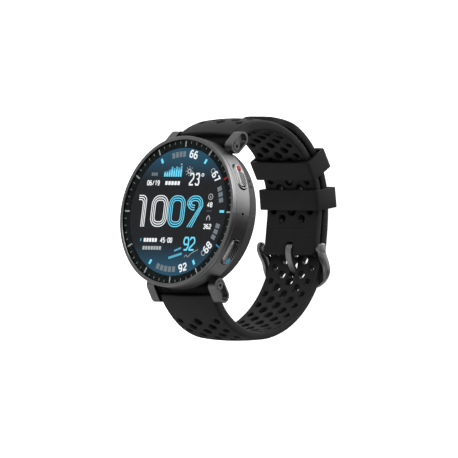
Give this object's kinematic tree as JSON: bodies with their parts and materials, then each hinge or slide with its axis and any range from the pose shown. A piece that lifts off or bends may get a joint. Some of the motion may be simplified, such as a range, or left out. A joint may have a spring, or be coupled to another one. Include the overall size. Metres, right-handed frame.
{
  "type": "gps running watch",
  "caption": "Round sports watch with a metal case, touch display, two push buttons and a perforated two-piece strap buckled into a loop.",
  "frame": {"origin": "middle of the flat wrist side of the sensor window, on the axis of the round case", "axes": "+Z leaves the dial towards the reader, +Y points to 12 o'clock, +X points to 3 o'clock; the strap loop hangs below the case along -Z"},
  "size_m": [0.046, 0.0681, 0.0586],
  "materials": {
    "bezel_metal": "fine brushed",
    "case_metal": "satin bead-blasted",
    "lug_metal": "satin",
    "button_metal": "polished edges",
    "buckle_metal": "satin",
    "fine_steel": "turned",
    "glass": "polished",
    "display": "lit display",
    "dial_black": "printed",
    "strap_silicone": "matte",
    "cover_polymer": "fine texture",
    "inner_polymer": "moulded",
    "seal_rubber": "matte",
    "board": "solder mask",
    "cell_wrap": "foil",
    "gold_contact": "plated",
    "sensor_gloss": "smoked polished",
    "led_white": "clear lens"
  },
  "bodies": {
    "root": {"bezel_ring": "bezel_metal", "cover_glass": "glass", "dial_ring": "dial_black", "display_panel": "display", "display_gasket": "seal_rubber", "mid_case": "case_metal", "lug_bushings": "lug_metal", "button_seals": "seal_rubber", "button_switches": "gold_contact", "antenna_ring": "inner_polymer", "microphone": "fine_steel", "chassis": "inner_polymer", "main_board": "board", "shield_cans": "fine_steel", "battery": "cell_wrap", "motor_can": "fine_steel", "pressure_sensor": "fine_steel", "sensor_board": "board", "sensor_leds": "led_white", "sensor_photodiodes": "sensor_gloss", "sensor_window": "sensor_gloss", "charging_contacts": "gold_contact", "back_gasket": "seal_rubber", "back_cover": "cover_polymer", "case_screws": "fine_steel", "upper_spring_bar": "fine_steel", "lower_spring_bar": "fine_steel", "short_strap": "strap_silicone", "long_strap": "strap_silicone", "buckle_bar": "buckle_metal"},
    "upper_button": {"upper_button": "button_metal", "upper_button_clip": "fine_steel"},
    "lower_button": {"lower_button": "button_metal", "lower_button_clip": "fine_steel"},
    "upper_release": {"upper_quick_release": "fine_steel"},
    "lower_release": {"lower_quick_release": "fine_steel"},
    "motor_rotor": {"motor_rotor": "gold_contact"},
    "upper_keeper": {"upper_keeper": "strap_silicone"},
    "lower_keeper": {"lower_keeper": "strap_silicone"},
    "buckle_frame": {"buckle_frame": "buckle_metal"},
    "buckle_tongue": {"buckle_tongue": "buckle_metal"}
  },
  "joints": [
    {"name": "upper_button_press", "type": "slide", "parent": "root", "child": "upper_button", "axis": [-0.866, -0.5, 0], "range_m": [0, 0.0005], "stiffness_N_per_m": 2000, "springref_m": -0.0005},
    {"name": "lower_button_press", "type": "slide", "parent": "root", "child": "lower_button", "axis": [-0.866, 0.5, 0], "range_m": [0, 0.0005], "stiffness_N_per_m": 2000, "springref_m": -0.0005},
    {"name": "upper_release_slide", "type": "slide", "parent": "root", "child": "upper_release", "axis": [1, 0, 0], "range_m": [0, 0.0013], "stiffness_N_per_m": 500, "springref_m": -0.001},
    {"name": "lower_release_slide", "type": "slide", "parent": "root", "child": "lower_release", "axis": [1, 0, 0], "range_m": [0, 0.0013], "stiffness_N_per_m": 500, "springref_m": -0.001},
    {"name": "motor_spin", "type": "hinge", "parent": "root", "child": "motor_rotor", "pos_m": [0.0144, 0, 0.0048], "axis": [0, 0, 1], "continuous": true},
    {"name": "upper_keeper_slide", "type": "hinge", "parent": "root", "child": "upper_keeper", "pos_m": [0, 0.00498, -0.01359], "axis": [1, 0, 0], "range_deg": [-3, 8]},
    {"name": "lower_keeper_slide", "type": "hinge", "parent": "root", "child": "lower_keeper", "pos_m": [0, 0.00498, -0.01359], "axis": [1, 0, 0], "range_deg": [-4, 3]},
    {"name": "buckle_swing", "type": "hinge", "parent": "root", "child": "buckle_frame", "pos_m": [0, -0.0027, -0.03945], "axis": [1, 0, 0], "range_deg": [0, 3]},
    {"name": "tongue_swing", "type": "hinge", "parent": "root", "child": "buckle_tongue", "pos_m": [0, -0.0027, -0.03945], "axis": [1, 0, 0], "range_deg": [0, 3]}
  ],
  "couplings": [
    {"joint": "tongue_swing", "follows": "buckle_swing", "ratio": 1}
  ]
}
